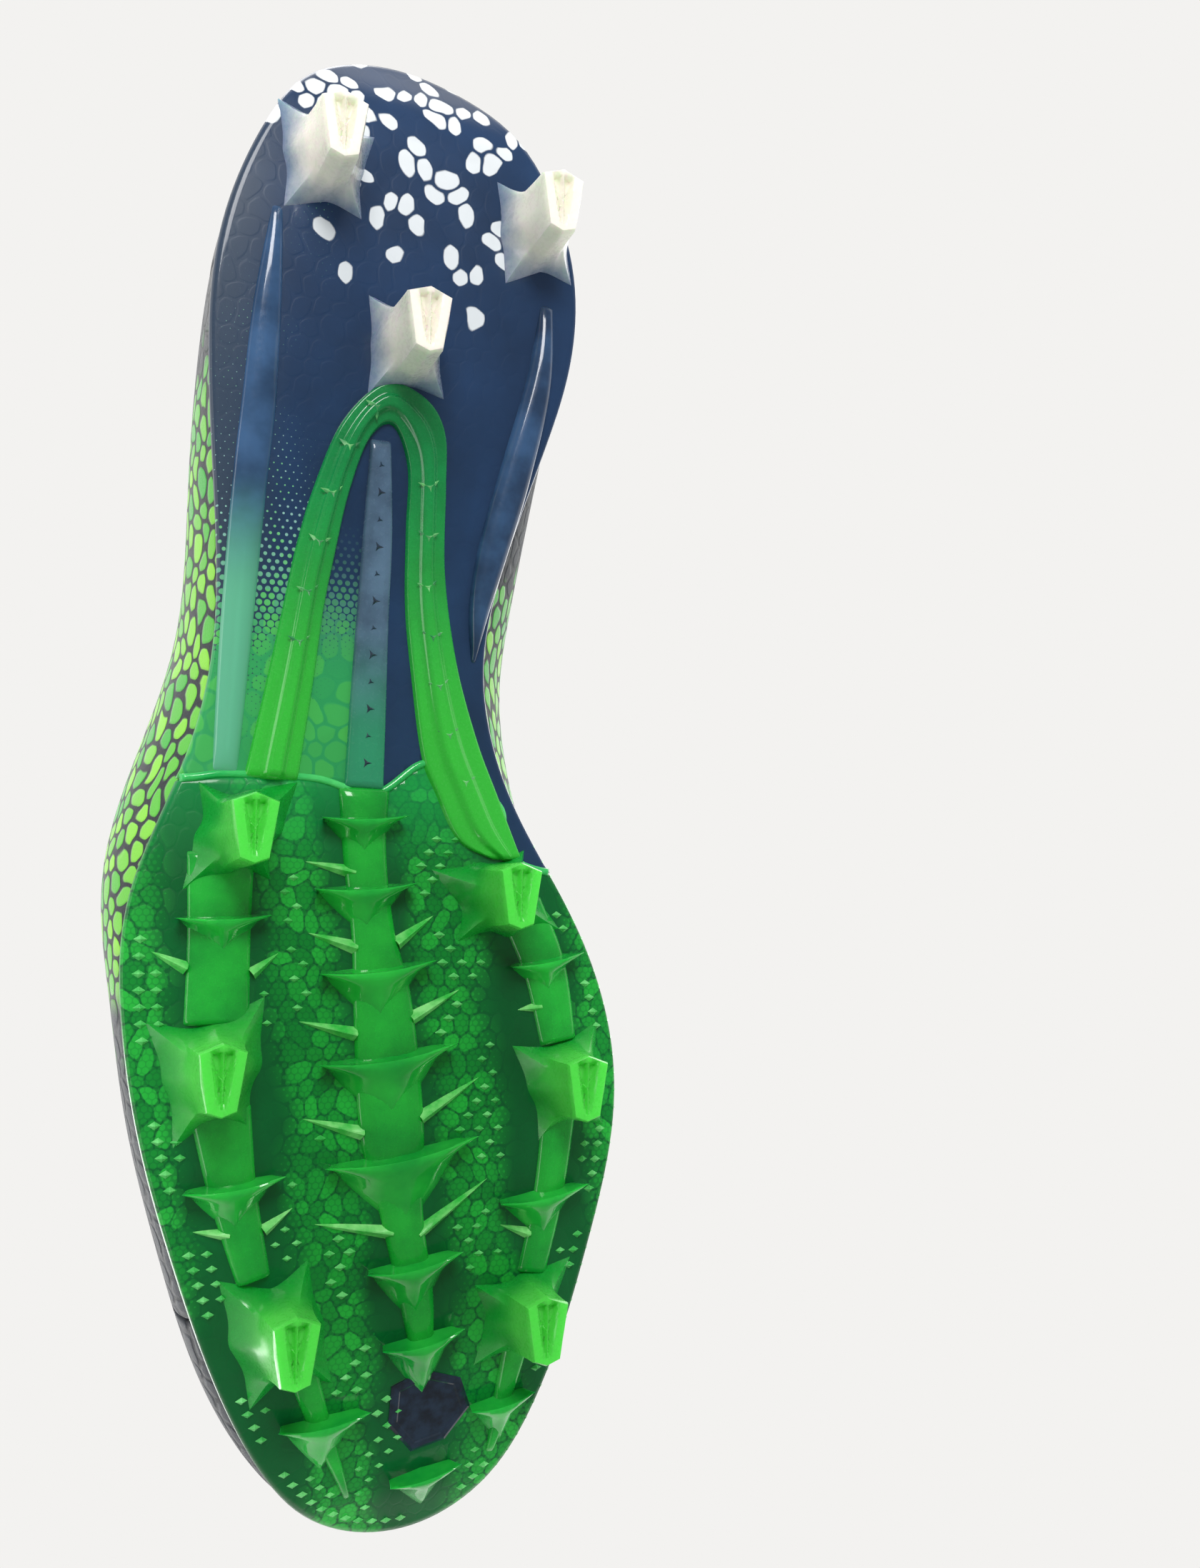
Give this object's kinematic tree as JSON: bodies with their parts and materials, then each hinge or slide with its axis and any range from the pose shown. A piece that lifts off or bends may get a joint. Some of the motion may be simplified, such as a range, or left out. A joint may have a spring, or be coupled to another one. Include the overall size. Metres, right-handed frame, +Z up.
{
  "type": "soccer cleat",
  "caption": "Left soccer cleat standing on moulded studs, with a finned two-part sole plate, a low lined upper, a tongue and a loose insole.",
  "frame": {"origin": "on the ground under the middle of the shoe's bounding box", "axes": "+Z up, +Y from toe to heel, +X towards the outer (lateral) side of the left foot"},
  "size_m": [0.0964, 0.2895, 0.106],
  "materials": {
    "front_plate": "gloss green moulded plate",
    "rear_plate": "clear gloss plate over a navy print",
    "film": "printed film",
    "board": "matt fibre board",
    "sockliner": "knit over foam",
    "rib": "gloss green",
    "fork": "gloss green",
    "fin": "gloss green",
    "stud": "gloss lime",
    "heel_stud": "gloss milky clear",
    "badge": "gloss dark pad",
    "skin": "printed synthetic",
    "heel_skin": "printed synthetic",
    "eyestay": "printed synthetic",
    "counter": "matt",
    "foam": "open foam",
    "lining": "knit",
    "tongue": "knit"
  },
  "bodies": {
    "shoe": {"forefoot_plate": "front_plate", "heel_plate": "rear_plate", "printed_film": "film", "lasting_board": "board", "rib_centre": "rib", "ribs_outer": "rib", "ribs_inner": "rib", "fork_frame": "fork", "fins_centre": "fin", "fins_outer": "fin", "fins_inner": "fin", "rib_barbs": "rib", "toe_pad": "badge", "window_spine": "rear_plate", "ridge_outer": "rear_plate", "ridge_inner": "rear_plate", "heel_panel": "heel_skin", "quarter_outer": "skin", "quarter_inner": "skin", "vamp": "skin", "heel_counter": "counter", "toe_puff": "counter", "collar_pad": "foam", "foam_outer": "foam", "foam_inner": "foam", "foam_vamp": "foam", "lining_outer": "lining", "lining_inner": "lining", "lining_vamp": "lining", "eyestay_outer": "eyestay", "eyestay_inner": "eyestay", "stud_outer_rear": "stud", "stud_outer_ball": "stud", "stud_outer_toe": "stud", "stud_inner_rear": "stud", "stud_inner_ball": "stud", "stud_inner_toe": "stud", "heel_stud_outer": "heel_stud", "heel_stud_inner": "heel_stud", "heel_stud_centre": "heel_stud"},
    "tongue": {"tongue": "tongue", "tongue_pad": "lining"},
    "sockliner": {"sockliner": "sockliner"}
  },
  "joints": [
    {"name": "tongue_tilt", "type": "hinge", "parent": "shoe", "child": "tongue", "pos_m": [-0.00416, -0.05, 0.0515], "axis": [1, 0, 0], "range_deg": [-8, 0], "stiffness_Nm_per_rad": 0.5, "springref_deg": 1.72},
    {"name": "sockliner_lift", "type": "hinge", "parent": "shoe", "child": "sockliner", "pos_m": [-0.0015, -0.1393, 0.0285], "axis": [1, 0, 0], "range_deg": [0, 2], "stiffness_Nm_per_rad": 0.05}
  ]
}
